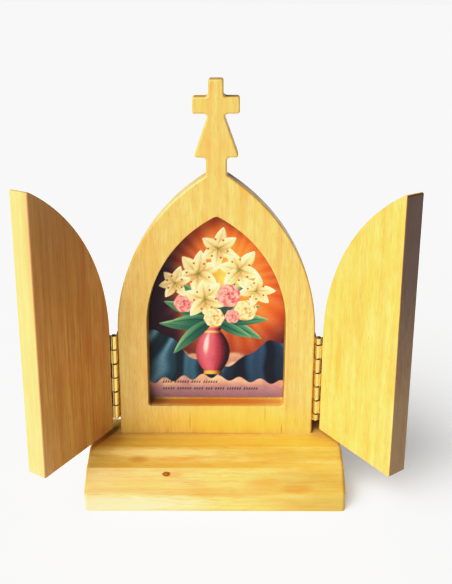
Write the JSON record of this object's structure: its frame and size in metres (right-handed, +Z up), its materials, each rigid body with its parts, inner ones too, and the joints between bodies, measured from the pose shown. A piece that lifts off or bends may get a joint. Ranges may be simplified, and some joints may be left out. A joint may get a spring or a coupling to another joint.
{
  "type": "triptych altarpiece",
  "caption": "Small table-top triptych shrine in pine: a pointed arch with a cross on a sloped base, a picture in a routed pocket, and two half-arch doors on brass continuous hinges.",
  "frame": {"origin": "middle of the base's underside", "axes": "+Z up along the arch to the cross, +Y from the picture's front to the back, +X to the viewer's right"},
  "size_m": [0.2644, 0.0861, 0.3105],
  "materials": {
    "pine": "clear satin varnish",
    "printed_card": "satin print",
    "brass": "rolled and bright",
    "steel": "drawn wire"
  },
  "bodies": {
    "shrine": {"base": "pine", "arched_board": "pine", "picture_card": "printed_card", "left_hinge_frame_leaf": "brass", "left_hinge_pin": "steel", "left_frame_screw_1": "brass", "left_frame_screw_2": "brass", "left_frame_screw_3": "brass", "right_hinge_frame_leaf": "brass", "right_hinge_pin": "steel", "right_frame_screw_1": "brass", "right_frame_screw_2": "brass", "right_frame_screw_3": "brass"},
    "left_wing": {"left_door": "pine", "left_hinge_door_leaf": "brass", "left_door_screw_1": "brass", "left_door_screw_2": "brass", "left_door_screw_3": "brass"},
    "right_wing": {"right_door": "pine", "right_hinge_door_leaf": "brass", "right_door_screw_1": "brass", "right_door_screw_2": "brass", "right_door_screw_3": "brass"}
  },
  "joints": [
    {"name": "left_door_hinge", "type": "hinge", "parent": "shrine", "child": "left_wing", "pos_m": [-0.0775, 0.013, 0.0834], "axis": [0, 0, -1], "range_deg": [-120.7, 69.3]},
    {"name": "right_door_hinge", "type": "hinge", "parent": "shrine", "child": "right_wing", "pos_m": [0.0775, 0.013, 0.0824], "axis": [0, 0, 1], "range_deg": [-124.8, 65.2]}
  ]
}
